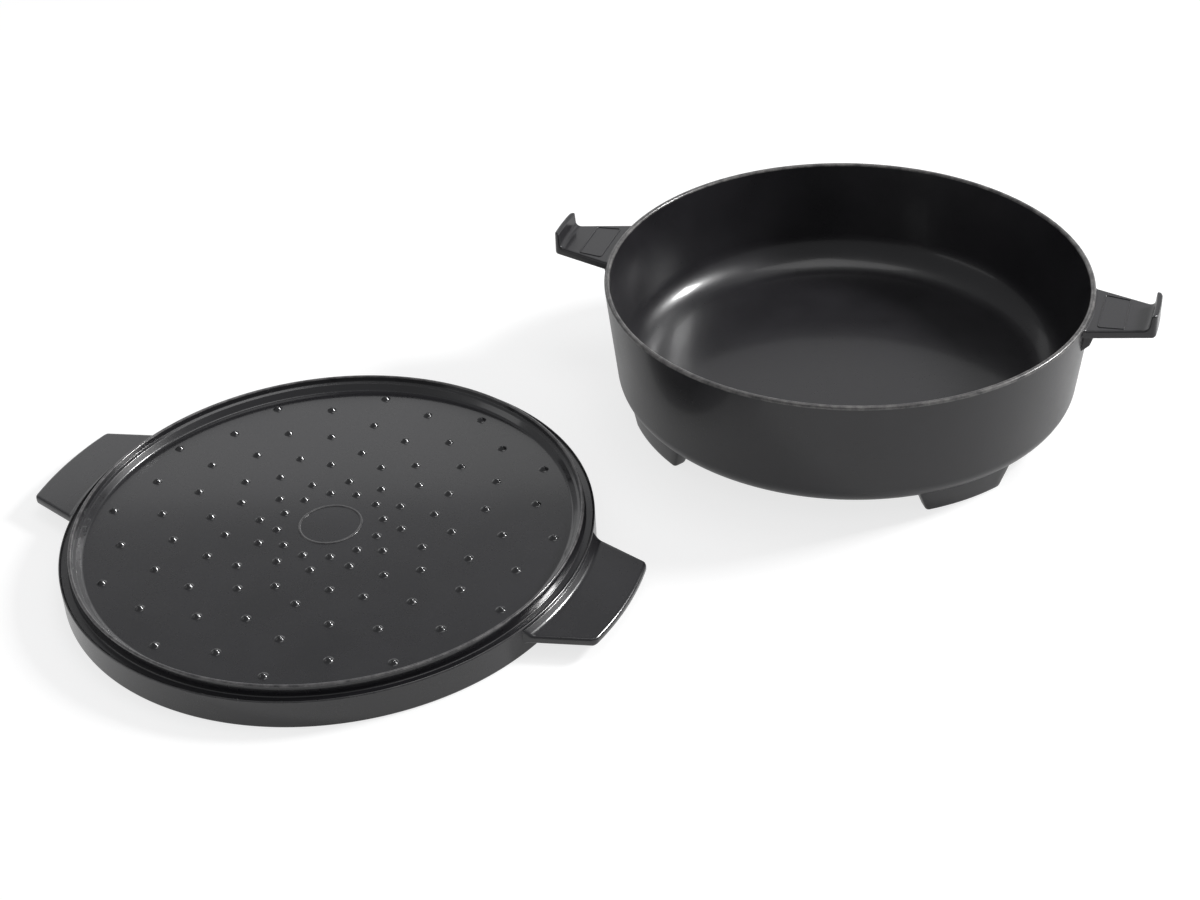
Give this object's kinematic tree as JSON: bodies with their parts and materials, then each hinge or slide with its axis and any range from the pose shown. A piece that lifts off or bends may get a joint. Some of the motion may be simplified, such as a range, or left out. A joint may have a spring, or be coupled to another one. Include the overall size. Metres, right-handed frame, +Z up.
{
  "type": "dutch oven",
  "caption": "Low round cast iron dutch oven with a tapered wall, short feet and hooked side ears, and a loose shallow lid with drip nubs and flat grips that turns over onto the pot.",
  "frame": {"origin": "middle of the footprint of the pot and the lid together, on the table they stand on", "axes": "+X runs along the pot's ears, from the lid's side towards the pot's side; +Y points from the lid to the pot; +Z is up"},
  "size_m": [0.6484, 0.5723, 0.0978],
  "materials": {
    "pot_enamel": "matte black enamel",
    "lid_enamel": "matte black enamel"
  },
  "bodies": {
    "pot": {"pot": "pot_enamel"},
    "lid": {"lid": "lid_enamel"}
  },
  "joints": [
    {"name": "lid_turn_over", "type": "hinge", "parent": "pot", "child": "lid", "pos_m": [-0.0016, 0.001, 0.0565], "axis": [-0.7059, 0.7083, 0], "range_deg": [0, 180]}
  ]
}
